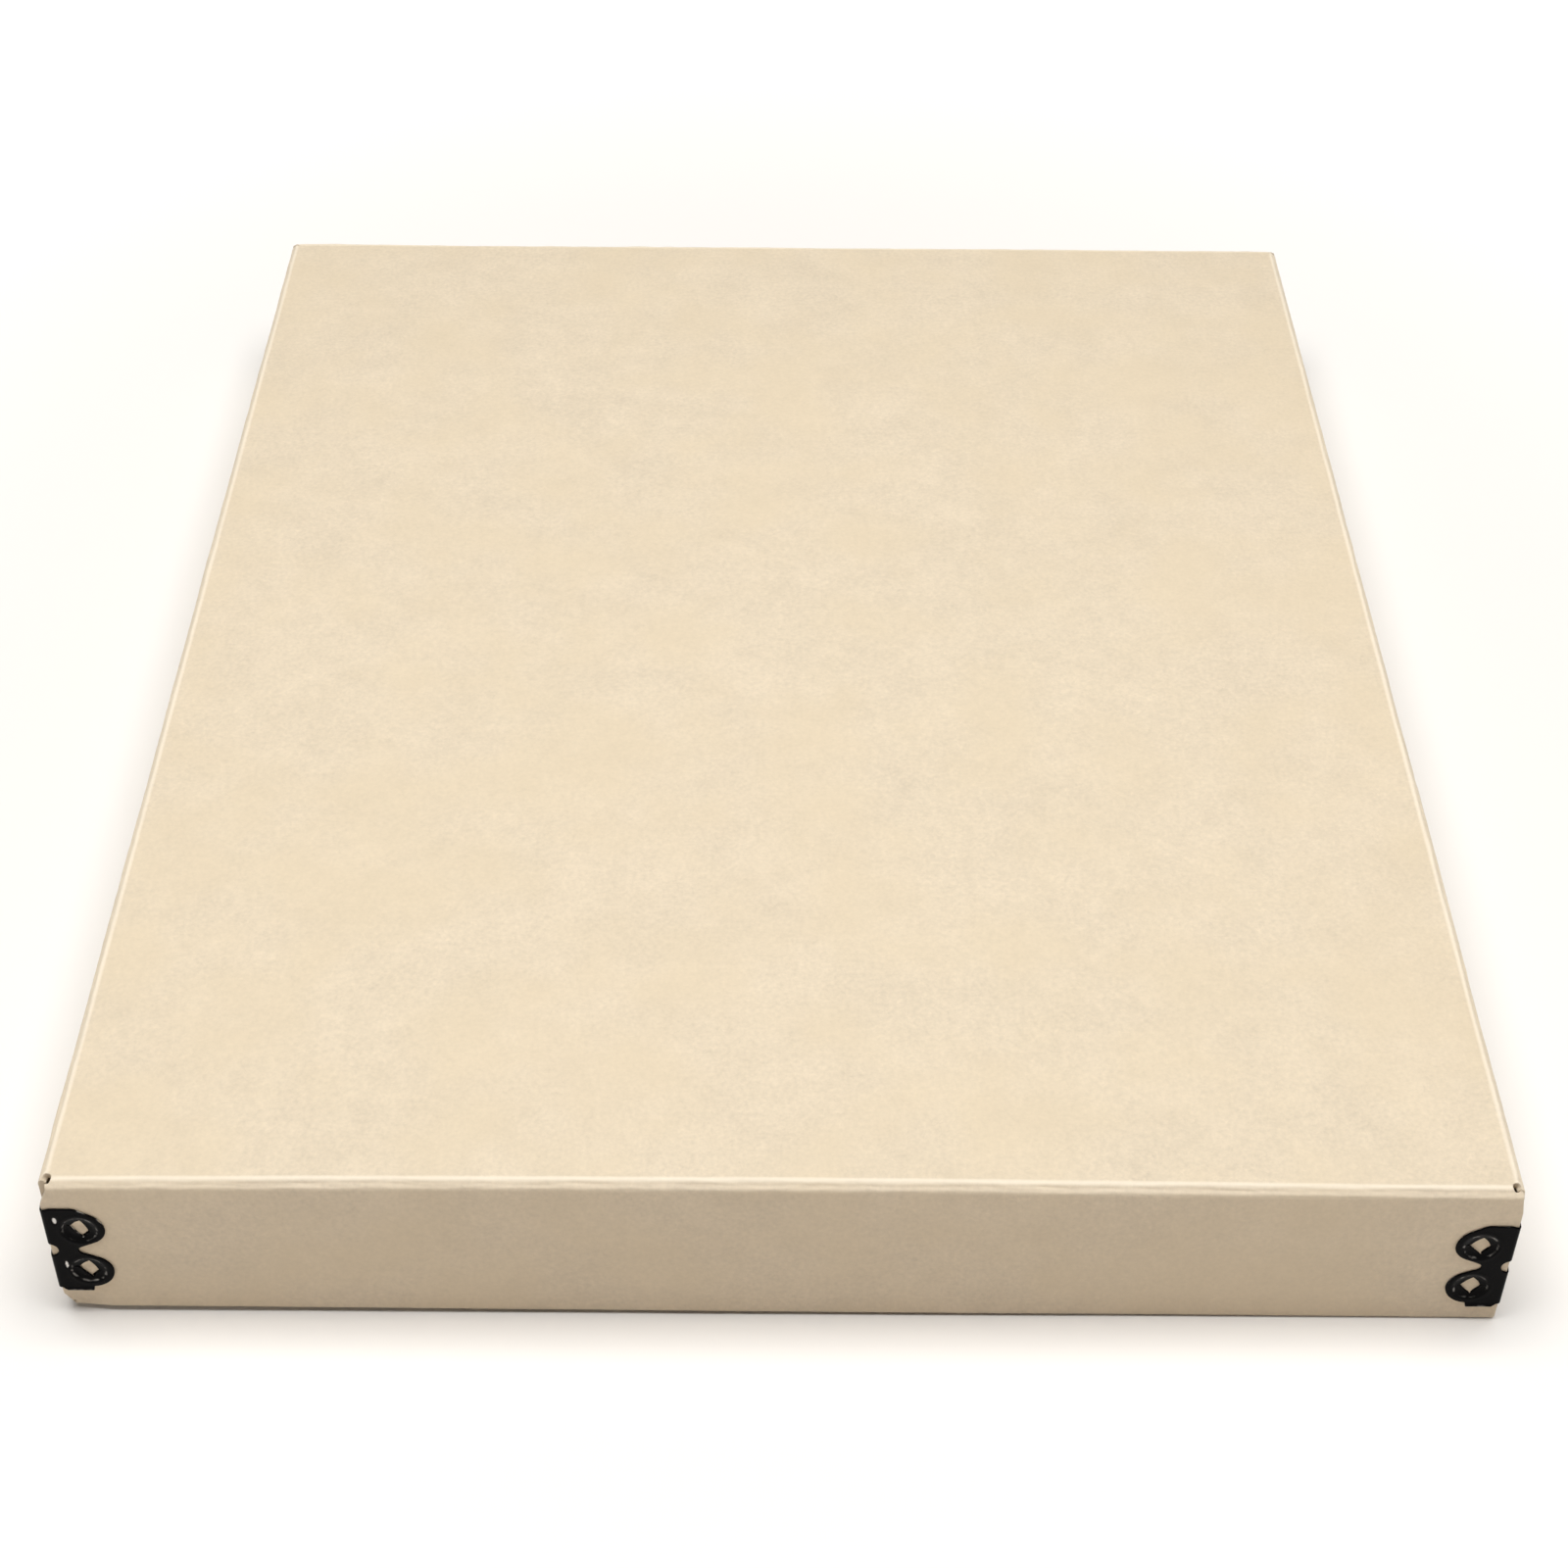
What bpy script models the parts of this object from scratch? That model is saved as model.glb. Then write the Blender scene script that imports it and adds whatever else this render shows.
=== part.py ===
"""Archival storage box: a shallow tray and a full-depth lift-off lid, both folded from thick board.

Each shell is one die-cut blank whose four walls fold along rounded creases. At every corner a
pressed metal stay wraps the two walls, and its teeth pass through slots in both of them.
Metres, +Z up. The front is -Y, and the origin is on the table, at the middle of the footprint.
"""

import math

import bmesh
import bpy
from mathutils import Matrix, Vector

# Shells
INSIDE_WIDTH = 0.2921          # tray, wall to wall along X
INSIDE_DEPTH = 0.3683          # tray, wall to wall along Y
TRAY_HEIGHT = 0.0381           # tray, table to rim
BOARD = 0.0015                 # thickness of the board
CREASE_RADIUS = 0.0012         # inside radius of a folded crease
LID_CLEARANCE = 0.0015         # tray wall to lid wall, on each side
SEAT_GAP = 0.0003              # tray rim to the underside of the lid
LID_OFF_TABLE = 0.0005         # table to the lid's lower edge
SEAM_GAP = 0.0003              # end of a side wall to the wall that covers it
RELIEF_MARGIN = 0.00008        # how far the relief hole passes the area that two flaps would share

# Metal stays
STAY_SHEET = 0.00035           # thickness of the sheet
STAY_HEIGHT = 0.0254
STAY_GAP = 0.00025             # sheet to board
STAY_BEND_RADIUS = 0.0004      # inside radius of the corner bend
LID_STAY_OVER_EDGE = 0.005     # lid's lower edge to the stay
END_FLAT = 0.0065              # corner to the end of the straight upper and lower edges
LOBE_FROM_CORNER = 0.0073      # corner to the middle of a lobe
LOBE_PITCH = 0.0127            # middle to middle of the two lobes of a leg
LOBE_RADIUS = 0.0052
LOBE_START = math.radians(-60)  # where a lobe's arc leaves the sloped shoulder
CORNER_HOLE_WIDTH = 0.0028     # hole across the corner bend, measured on the flat sheet
CORNER_HOLE_HEIGHT = 0.0034

# Teeth: each punched hole is a square on its corner, with a tooth turned in from every side
PUNCH_SIDE = 0.00354
TOOTH_FROM_CORNER = 0.00087    # corner of the hole to the root of a tooth
TOOTH_TIP = 0.0004
TOOTH_BEND_RADIUS = 0.0001
TOOTH_STANDOUT = 0.0003        # how far a tooth's tip passes the board
SLOT_CLEARANCE = 0.00015       # tooth to slot, on each side

# Smoothness
CREASE_STEPS = 5
RELIEF_STEPS = 14
BEND_STEPS = 4
LOBE_STEPS = 9
WAIST_STEPS = 6
HOLE_STEPS = 12
TOOTH_STEPS = 2
CUT_TOLERANCE = 1e-7
SMOOTH_ANGLE = math.radians(35)

# Sizes that follow from the ones above
TRAY_WIDTH = INSIDE_WIDTH + 2 * BOARD
TRAY_DEPTH = INSIDE_DEPTH + 2 * BOARD
LID_WIDTH = TRAY_WIDTH + 2 * (LID_CLEARANCE + BOARD)
LID_DEPTH = TRAY_DEPTH + 2 * (LID_CLEARANCE + BOARD)
LID_TOP = TRAY_HEIGHT + SEAT_GAP + BOARD
LID_WALL = LID_TOP - LID_OFF_TABLE
TRAY_STAY_FROM_FOLD = (TRAY_HEIGHT - STAY_HEIGHT) / 2
LID_STAY_FROM_FOLD = LID_WALL - LID_STAY_OVER_EDGE - STAY_HEIGHT
STAY_OFFSET = STAY_GAP + STAY_SHEET
TOOTH_WIDTH = PUNCH_SIDE - 2 * TOOTH_FROM_CORNER
TOOTH_REACH = STAY_OFFSET + BOARD + TOOTH_STANDOUT

QUARTER_TURN = math.pi / 2
TOOTH_DIRECTIONS = [QUARTER_TURN * (side + 0.5) for side in range(4)]
CORNERS = {
    "front_left": (-1, -1),
    "front_right": (1, -1),
    "back_left": (-1, 1),
    "back_right": (1, 1),
}


def clear_scene():
    for item in list(bpy.data.objects):
        bpy.data.objects.remove(item, do_unlink=True)


def make_material(name, color, roughness, metallic):
    material = bpy.data.materials.new(name)
    material.use_nodes = True
    shader = material.node_tree.nodes["Principled BSDF"]
    shader.inputs["Base Color"].default_value = (*color, 1.0)
    shader.inputs["Roughness"].default_value = roughness
    shader.inputs["Metallic"].default_value = metallic
    return material


def arc(centre, radius, start, end, steps):
    """Points along an arc, both ends included."""
    points = []
    for step in range(steps + 1):
        angle = start + (end - start) * step / steps
        points.append((centre[0] + radius * math.cos(angle), centre[1] + radius * math.sin(angle)))
    return points


def bend_length(inside_radius, sheet):
    """Flat length that a quarter-turn bend takes up, along the middle of the sheet."""
    return (inside_radius + sheet / 2) * QUARTER_TURN


def folded(run, depth, inside_radius, sheet):
    """Where a flat point lands once its bend is made.

    run is its distance past the start of the bend, and depth its distance under the outer face.
    Returns the distance past the start and the height over the outer face of the part that stays flat.
    """
    outside_radius = inside_radius + sheet
    length = bend_length(inside_radius, sheet)
    if run <= 0:
        return run, depth
    if run >= length:
        return outside_radius - depth, outside_radius + run - length
    angle = run / length * QUARTER_TURN
    radius = outside_radius - depth
    return radius * math.sin(angle), outside_radius - radius * math.cos(angle)


def cut_blank(outlines, thickness):
    """A flat sheet inside the first outline and outside the others, with its outer face at z = 0."""
    sheet = bmesh.new()
    for outline in outlines:
        verts = [sheet.verts.new((x, y, 0)) for x, y in outline]
        for start, end in zip(verts, verts[1:] + verts[:1]):
            sheet.edges.new((start, end))
    bmesh.ops.triangle_fill(sheet, use_beauty=True, edges=sheet.edges[:], normal=(0, 0, 1))
    raised = bmesh.ops.extrude_face_region(sheet, geom=sheet.faces[:])["geom"]
    raised_verts = [item for item in raised if isinstance(item, bmesh.types.BMVert)]
    bmesh.ops.translate(sheet, verts=raised_verts, vec=(0, 0, thickness))
    bmesh.ops.recalc_face_normals(sheet, faces=sheet.faces[:])
    return sheet


def score(sheet, axis, start, length, steps):
    """Cut the faces of a blank across a bend, so that the bend comes out round."""
    normal = Vector((0, 0, 0))
    normal[axis] = 1
    for step in range(steps + 1):
        geometry = sheet.verts[:] + sheet.edges[:] + sheet.faces[:]
        place = normal * (start + length * step / steps)
        bmesh.ops.bisect_plane(sheet, geom=geometry, dist=CUT_TOLERANCE, plane_co=place, plane_no=normal)


def finish_mesh(sheet, name):
    bmesh.ops.recalc_face_normals(sheet, faces=sheet.faces[:])
    mesh = bpy.data.meshes.new(name)
    sheet.to_mesh(mesh)
    sheet.free()
    mesh.shade_smooth()
    mesh.set_sharp_from_angle(angle=SMOOTH_ANGLE)
    return mesh


def place_object(name, mesh, material, parent=None):
    item = bpy.data.objects.new(name, mesh)
    bpy.context.scene.collection.objects.link(item)
    if not mesh.materials:
        mesh.materials.append(material)
    item.parent = parent
    return item


def relief_corner(flat_x, flat_y, wall_run):
    """Outline of one corner of a shell's blank, from its side flap to its end flap.

    The end flap runs to the outer face of the side wall, and the side flap stops behind the end
    wall. A round relief hole takes away the area that both flaps would need.
    """
    reach = CREASE_RADIUS + BOARD
    overhang = CREASE_RADIUS - SEAM_GAP
    centre = (flat_x + reach / 2, flat_y + overhang / 2)
    radius = math.hypot(reach, overhang) / 2 + RELIEF_MARGIN
    start = math.asin(overhang / 2 / radius)
    end = math.acos(reach / 2 / radius) - 2 * math.pi
    hole_edge = arc(centre, radius, start, end, RELIEF_STEPS)
    side_flap_end = (flat_x + wall_run, flat_y + overhang)
    end_flap_corner = (flat_x + reach, flat_y + wall_run)
    return [side_flap_end] + hole_edge + [end_flap_corner]


def blank_outline(corner):
    """The whole outline of a blank, from one of its four corners."""
    back_left = [(-x, y) for x, y in reversed(corner)]
    front_left = [(-x, -y) for x, y in corner]
    front_right = [(x, -y) for x, y in reversed(corner)]
    return corner + back_left + front_left + front_right


def tooth_slots(centre):
    """The four slots for the teeth of one punched hole of a stay."""
    from_centre = PUNCH_SIDE / 2 - TOOTH_BEND_RADIUS - STAY_SHEET / 2
    half_width = STAY_SHEET / 2 + SLOT_CLEARANCE
    half_length = TOOTH_WIDTH / 2 + SLOT_CLEARANCE
    slots = []
    for direction in TOOTH_DIRECTIONS:
        out = Vector((math.cos(direction), math.sin(direction)))
        along = Vector((-out.y, out.x))
        middle = Vector(centre) + out * from_centre
        corners = [(-1, -1), (1, -1), (1, 1), (-1, 1)]
        slots.append([tuple(middle + out * half_width * a + along * half_length * b) for a, b in corners])
    return slots


def shell_slots(flat_x, flat_y, stay_from_fold):
    """Slots for the teeth of all four stays, placed on the flat blank."""
    reach = CREASE_RADIUS + BOARD
    unrolled = bend_length(CREASE_RADIUS, BOARD) - reach
    from_edge = LOBE_FROM_CORNER - STAY_OFFSET
    slots = []
    for side_x, side_y in CORNERS.values():
        for lobe in (-0.5, 0.5):
            run = stay_from_fold + STAY_HEIGHT / 2 + lobe * LOBE_PITCH + unrolled
            slots += tooth_slots((side_x * (flat_x + reach - from_edge), side_y * (flat_y + run)))
            slots += tooth_slots((side_x * (flat_x + run), side_y * (flat_y + reach - from_edge)))
    return slots


def fold_shell_point(point, flat_x, flat_y):
    """Fold one point of a shell's blank: the walls stand up around a floor at z = 0."""
    side_x = math.copysign(1, point.x)
    side_y = math.copysign(1, point.y)
    run_x = abs(point.x) - flat_x
    run_y = abs(point.y) - flat_y
    if run_x <= 0 or run_y > CREASE_RADIUS - SEAM_GAP + CUT_TOLERANCE:
        out_y, height = folded(run_y, point.z, CREASE_RADIUS, BOARD)
        return Vector((point.x, side_y * (flat_y + out_y), height))
    out_x, height = folded(run_x, point.z, CREASE_RADIUS, BOARD)
    return Vector((side_x * (flat_x + out_x), point.y, height))


def fold_shell(name, width, depth, height, stay_from_fold):
    """A shallow open-topped shell, folded from one blank of board."""
    reach = CREASE_RADIUS + BOARD
    crease = bend_length(CREASE_RADIUS, BOARD)
    flat_x = width / 2 - reach
    flat_y = depth / 2 - reach
    outline = blank_outline(relief_corner(flat_x, flat_y, crease + height - reach))
    sheet = cut_blank([outline] + shell_slots(flat_x, flat_y, stay_from_fold), BOARD)
    for start in (flat_x, -flat_x - crease):
        score(sheet, 0, start, crease, CREASE_STEPS)
    for start in (flat_y, -flat_y - crease):
        score(sheet, 1, start, crease, CREASE_STEPS)
    bmesh.ops.triangulate(sheet, faces=sheet.faces[:])
    for vert in sheet.verts:
        vert.co = fold_shell_point(vert.co, flat_x, flat_y)
    return finish_mesh(sheet, name)


def stay_flat_x(from_corner):
    """Place on the flat sheet of a point that will lie this far from the bent corner."""
    return from_corner - STAY_BEND_RADIUS - STAY_SHEET + bend_length(STAY_BEND_RADIUS, STAY_SHEET) / 2


def stay_outline():
    """Outline of the flat stay: two legs side by side, each with two round lobes."""
    lobe_x = stay_flat_x(LOBE_FROM_CORNER)
    upper = arc((lobe_x, LOBE_PITCH / 2), LOBE_RADIUS, -QUARTER_TURN, -LOBE_START, LOBE_STEPS)
    lower = [(x, -y) for x, y in reversed(upper)]
    waist_radius = LOBE_PITCH / 2 - LOBE_RADIUS
    waist = arc((lobe_x, 0), waist_radius, -QUARTER_TURN, -3 * QUARTER_TURN, WAIST_STEPS)
    end_x = stay_flat_x(END_FLAT)
    right = [(end_x, -STAY_HEIGHT / 2)] + lower + waist[1:-1] + upper + [(end_x, STAY_HEIGHT / 2)]
    left = [(-x, y) for x, y in reversed(right)]
    return right + left


def corner_hole():
    """Oval hole at mid-height of the stay, across the corner bend."""
    points = []
    for step in range(HOLE_STEPS):
        angle = 2 * math.pi * step / HOLE_STEPS
        points.append((math.cos(angle) * CORNER_HOLE_WIDTH / 2, math.sin(angle) * CORNER_HOLE_HEIGHT / 2))
    return points


def punched_hole(centre):
    """Square hole standing on its corner, with the root of one tooth on each side."""
    points = []
    for direction in TOOTH_DIRECTIONS:
        out = Vector((math.cos(direction), math.sin(direction))) * PUNCH_SIDE / 2
        along = Vector((-out.y, out.x)).normalized()
        for offset in (-PUNCH_SIDE / 2, -TOOTH_WIDTH / 2, TOOTH_WIDTH / 2):
            points.append(tuple(Vector(centre) + out + along * offset))
    return points


def punch_centres():
    lobe_x = stay_flat_x(LOBE_FROM_CORNER)
    return [(x, y * LOBE_PITCH / 2) for x in (-lobe_x, lobe_x) for y in (-1, 1)]


def face_at(sheet, place):
    return min(sheet.faces, key=lambda face: (face.calc_center_median() - place).length)


def turn_in_tooth(sheet, centre, direction):
    """Bend one tooth from a side of its hole towards the board, and draw it out to a narrow tip."""
    out = Vector((math.cos(direction), math.sin(direction), 0))
    along = Vector((-out.y, out.x, 0))
    root = Vector((*centre, 0)) + out * PUNCH_SIDE / 2
    hinge = root + Vector((0, 0, STAY_SHEET + TOOTH_BEND_RADIUS))
    face = face_at(sheet, root + Vector((0, 0, STAY_SHEET / 2)))
    turn = Matrix.Rotation(QUARTER_TURN / TOOTH_STEPS, 3, along)
    for _ in range(TOOTH_STEPS):
        face = bmesh.ops.extrude_discrete_faces(sheet, faces=[face])["faces"][0]
        bmesh.ops.rotate(sheet, verts=face.verts[:], cent=hinge, matrix=turn)
    tip = bmesh.ops.extrude_discrete_faces(sheet, faces=[face])["faces"][0]
    for vert in tip.verts:
        across = (vert.co - root).dot(along)
        vert.co += along * across * (TOOTH_TIP / TOOTH_WIDTH - 1)
        vert.co.z = TOOTH_REACH


def stay_mesh():
    """A stay for the +X +Y corner: outer faces at x = 0 and y = 0, its middle at z = 0."""
    centres = punch_centres()
    sheet = cut_blank([stay_outline(), corner_hole()] + [punched_hole(c) for c in centres], STAY_SHEET)
    bend = bend_length(STAY_BEND_RADIUS, STAY_SHEET)
    score(sheet, 0, -bend / 2, bend, BEND_STEPS)
    for centre in centres:
        for direction in TOOTH_DIRECTIONS:
            turn_in_tooth(sheet, centre, direction)
    bmesh.ops.triangulate(sheet, faces=sheet.faces[:])
    for vert in sheet.verts:
        x, y, z = vert.co
        out, height = folded(x + bend / 2, z, STAY_BEND_RADIUS, STAY_SHEET)
        vert.co = Vector((out - STAY_BEND_RADIUS - STAY_SHEET, -height, y))
    return finish_mesh(sheet, "corner_stay")


def place_stays(prefix, mesh, width, depth, height, material, parent=None):
    """One stay on each corner of a shell; height is that of the stays' middle."""
    for corner, (side_x, side_y) in CORNERS.items():
        stay = place_object(f"{prefix}_corner_stay_{corner}", mesh, material, parent)
        turn = math.atan2(side_y, side_x) - QUARTER_TURN / 2
        stay.rotation_euler.z = turn
        stay.location = (side_x * (width / 2 + STAY_OFFSET), side_y * (depth / 2 + STAY_OFFSET), height)


def main():
    clear_scene()
    board = make_material("cream_board", (0.86, 0.75, 0.56), 0.88, 0.0)
    enamel = make_material("black_enamel", (0.012, 0.012, 0.014), 0.22, 0.0)
    stay = stay_mesh()

    tray = fold_shell("tray_board", TRAY_WIDTH, TRAY_DEPTH, TRAY_HEIGHT, TRAY_STAY_FROM_FOLD)
    place_object("tray_board", tray, board)
    tray_stay_height = TRAY_STAY_FROM_FOLD + STAY_HEIGHT / 2
    place_stays("tray", stay, TRAY_WIDTH, TRAY_DEPTH, tray_stay_height, enamel)

    lid_lift = bpy.data.objects.new("lid_lift_axis", None)
    lid_lift.location = (0, 0, LID_TOP)
    bpy.context.scene.collection.objects.link(lid_lift)
    lid = fold_shell("lid_board", LID_WIDTH, LID_DEPTH, LID_WALL, LID_STAY_FROM_FOLD)
    lid_board = place_object("lid_board", lid, board, lid_lift)
    lid_board.rotation_euler.x = math.pi
    lid_stay_height = -LID_STAY_FROM_FOLD - STAY_HEIGHT / 2
    place_stays("lid", stay, LID_WIDTH, LID_DEPTH, lid_stay_height, enamel, lid_lift)


main()
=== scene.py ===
"""Archival storage box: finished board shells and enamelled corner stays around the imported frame.

Each shell starts as a flat die-cut blank and each stay as a flat pressed blank. Shaping trees then
crease, fold, press and wear them, and turn the stays' teeth through the board. Metres, +Z up.
"""

import math
import random

import bmesh
import bpy
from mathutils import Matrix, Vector, geometry, kdtree


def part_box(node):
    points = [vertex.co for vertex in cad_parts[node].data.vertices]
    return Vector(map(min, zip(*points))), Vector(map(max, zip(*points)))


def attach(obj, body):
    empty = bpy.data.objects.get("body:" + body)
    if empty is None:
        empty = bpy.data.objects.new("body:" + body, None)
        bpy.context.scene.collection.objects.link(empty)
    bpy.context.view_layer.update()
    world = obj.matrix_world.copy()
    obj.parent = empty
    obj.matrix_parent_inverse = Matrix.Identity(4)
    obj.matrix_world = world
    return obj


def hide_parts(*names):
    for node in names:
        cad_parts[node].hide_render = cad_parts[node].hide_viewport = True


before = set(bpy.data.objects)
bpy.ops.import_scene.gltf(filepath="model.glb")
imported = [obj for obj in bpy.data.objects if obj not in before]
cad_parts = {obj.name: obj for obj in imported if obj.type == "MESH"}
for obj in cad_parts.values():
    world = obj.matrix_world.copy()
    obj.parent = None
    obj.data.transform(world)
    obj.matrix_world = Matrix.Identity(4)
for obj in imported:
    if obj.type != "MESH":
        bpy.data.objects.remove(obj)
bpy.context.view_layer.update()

MM = 0.001
QUARTER_TURN = math.pi / 2
CORNERS = {
    "front_left": (-1, -1),
    "front_right": (1, -1),
    "back_left": (-1, 1),
    "back_right": (1, 1),
}

# Board and its folds
BOARD = 1.5 * MM
CREASE_RADIUS = 0.75 * MM         # inside radius of a fold
SEAM_GAP = 0.3 * MM               # end of a side wall to the end wall in front of it
TAPER_HEIGHT = 6.3 * MM           # from the fold down to where an end flap gets its full width
CUT_ROUNDING = 0.16 * MM          # softness of a die-cut edge
FOOTING = 0.06 * MM               # the tray's panel over the floor, so that its wrinkles clear it
REACH = CREASE_RADIUS + BOARD     # outside radius of a fold
OVERHANG = CREASE_RADIUS - SEAM_GAP
CREASE = (CREASE_RADIUS + BOARD / 2) * QUARTER_TURN
FACET_HALF_ANGLE = math.radians(23)
RELIEF_OFFSET = 0.3               # relief's middle off the folds' corner, in shares of its radius
PLAIN_CLIP = (0.4 * MM, 0.4 * MM)

# Pressing, wear and warp of a shell
RIDGE_DEPTH = 0.06 * MM
GROOVE_DEPTH = 0.05 * MM
WRINKLE_DEPTH = 0.75 * MM
FOLD_WANDER = 0.6 * MM
WALL_WANDER = 0.5 * MM
CRUSH_SPREAD = 11 * MM            # a crushed corner reaches this far along its wall
PANEL_SWELL = 0.35 * MM

# Stays
SHEET = 0.35 * MM
STAY_BEND_RADIUS = 0.4 * MM
STAY_GAP = 0.06 * MM              # sheet to board: the teeth pull the stay down tight
SHEAR_ROUNDING = 0.07 * MM
HEAD_FLAT = 6.7 * MM              # half width of the stay's upper end, up to its shoulder
FOOT_FLAT = 7.5 * MM              # half width of its lower end, up to its step
LOBE_FROM_CORNER = 7.3 * MM
LOBE_PITCH = 12.7 * MM
LOBE_RADIUS = 5.2 * MM
LOBE_INSIDE_RADIUS = 4.5 * MM     # on the side that faces the other lobe
WAIST_RADIUS = 1.15 * MM
WAIST_FROM_CORNER = 6.2 * MM
SHOULDER_ANGLE = math.radians(56)
STEP_ANGLE = math.radians(-86)
CORNER_HOLE = (1.75 * MM, 1.8 * MM)
PUNCH_HALF = 2.45 * MM            # middle of a hole to its corners, as the teeth were laid out
PUNCH_WIDE = 2.15 * MM            # middle of a hole to its two level corners, before they tear
PUNCH_TALL = 2.6 * MM             # and to its upper and lower ones
PUNCH_SHIFT = 0.35 * MM
PUNCH_SIDE_BULGE = 0.14 * MM
TEARS = ((0.9 * MM, 0.0), (0.05 * MM, 0.1 * MM), (-0.4 * MM, 0.3 * MM), (0.0, -0.1 * MM))
TEAR_WIDTH = 0.24 * MM
NOTCH_HALF = 1.7 * MM             # small nicks where the fold meets the stay's ends
NOTCH_BOTTOM_HALF = 0.6 * MM
HEAD_NOTCH = 0.35 * MM
FOOT_NOTCH = 0.75 * MM
DISH_RADIUS = 4.2 * MM
DISH_FLOOR = 2.2 * MM
DISH_DEPTH = 0.45 * MM
DISH_LIP = 0.05 * MM              # raised rim round a dish
DIMPLE_DEPTH = 0.16 * MM
FOOT_FLARE = 0.2 * MM             # the lower edge stands off a little
FOOT_BEND = 0.9 * MM              # height of the strip that flares
TOOTH_WIDTH = 2.7 * MM
TOOTH_SHEET = 0.3 * MM
CLINCH = 1.15 * MM                # turned-over end of a tooth, inside the wall
CLINCH_RADIUS = 0.42 * MM


class Signal:
    """A value on its way through a node tree. Arithmetic on it adds Math nodes."""

    def __init__(self, graph, socket):
        self.graph = graph
        self.socket = socket

    def maths(self, operation, *values):
        inputs = {place: value for place, value in enumerate(values)}
        return self.graph.add("ShaderNodeMath", {"operation": operation}, inputs)

    def other(self, name):
        """Another output of the node that this value comes from."""
        return Signal(self.graph, self.socket.node.outputs[name])

    def __add__(self, value):
        return self.maths("ADD", self, value)

    def __radd__(self, value):
        return self.maths("ADD", value, self)

    def __sub__(self, value):
        return self.maths("SUBTRACT", self, value)

    def __rsub__(self, value):
        return self.maths("SUBTRACT", value, self)

    def __mul__(self, value):
        return self.maths("MULTIPLY", self, value)

    def __rmul__(self, value):
        return self.maths("MULTIPLY", value, self)

    def __truediv__(self, value):
        return self.maths("DIVIDE", self, value)

    def __rtruediv__(self, value):
        return self.maths("DIVIDE", value, self)

    def __neg__(self):
        return self.maths("MULTIPLY", self, -1.0)

    def __abs__(self):
        return self.maths("ABSOLUTE", self)

    def __gt__(self, value):
        return self.maths("GREATER_THAN", self, value)

    def at_least(self, value):
        return self.maths("MAXIMUM", self, value)

    def at_most(self, value):
        return self.maths("MINIMUM", self, value)

    def clamped(self):
        return self.at_least(0.0).at_most(1.0)

    def sine(self):
        return self.maths("SINE", self)

    def cosine(self):
        return self.maths("COSINE", self)

    def root(self):
        return self.maths("SQRT", self)

    def sign(self):
        return self.maths("SIGN", self)

    def bell(self, centre, half_width):
        """1 at the centre, falling smoothly to 0 at the half width."""
        across = (self - centre) / half_width
        rise = (1 - across * across).at_least(0.0)
        return rise * rise

    def ramp(self, low, high):
        """0 up to low and 1 from high on, with soft ends."""
        settings = {"interpolation_type": "SMOOTHSTEP"}
        inputs = {"Value": self, "From Min": low, "From Max": high}
        return self.graph.add("ShaderNodeMapRange", settings, inputs)

    def toward(self, value, share):
        """Part of the way from this value to another one."""
        return self + (value - self) * share


class Graph:
    """One node tree under construction."""

    def __init__(self, tree):
        self.tree = tree

    def add(self, kind, settings=None, inputs=None, output=0):
        """Adds a node: its settings first, then the values or links of its sockets."""
        node = self.tree.nodes.new(kind)
        for name, value in (settings or {}).items():
            setattr(node, name, value)
        for key, value in (inputs or {}).items():
            self.feed(node.inputs[key], value)
        return Signal(self, node.outputs[output]) if node.outputs else node

    def feed(self, socket, value):
        if isinstance(value, Signal):
            self.tree.links.new(value.socket, socket)
        else:
            socket.default_value = value

    def vector(self, x, y, z):
        return self.add("ShaderNodeCombineXYZ", {}, {"X": x, "Y": y, "Z": z})

    def noise(self, place, scale, detail=2.0, roughness=0.5, distortion=0.0):
        inputs = {"Vector": place, "Scale": scale, "Detail": detail, "Roughness": roughness}
        inputs["Distortion"] = distortion
        return self.add("ShaderNodeTexNoise", {}, inputs)

    def blend_colors(self, first, second, share):
        inputs = {0: share, 6: first, 7: second}
        return self.add("ShaderNodeMix", {"data_type": "RGBA"}, inputs, output=2)


class Shaping(Graph):
    """A Geometry Nodes tree with one mesh in and one mesh out, and named sizes."""

    def __init__(self, name):
        super().__init__(bpy.data.node_groups.new(name, "GeometryNodeTree"))
        self.tree.is_modifier = True
        self.tree.interface.new_socket("Geometry", in_out="INPUT", socket_type="NodeSocketGeometry")
        self.tree.interface.new_socket("Geometry", in_out="OUTPUT", socket_type="NodeSocketGeometry")
        self.inlet = self.tree.nodes.new("NodeGroupInput")
        self.outlet = self.tree.nodes.new("NodeGroupOutput")
        self.geometry = Signal(self, self.inlet.outputs["Geometry"])

    def size(self, name, kind="Float"):
        self.tree.interface.new_socket(name, in_out="INPUT", socket_type="NodeSocket" + kind)
        return Signal(self, self.inlet.outputs[name])

    def close(self, geometry):
        """Ends the tree with real geometry in the chosen material."""
        real = self.add("GeometryNodeRealizeInstances", {}, {"Geometry": geometry})
        inputs = {"Geometry": real, "Material": self.size("Material", "Material")}
        painted = self.add("GeometryNodeSetMaterial", {}, inputs)
        self.feed(self.outlet.inputs["Geometry"], painted)


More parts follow.
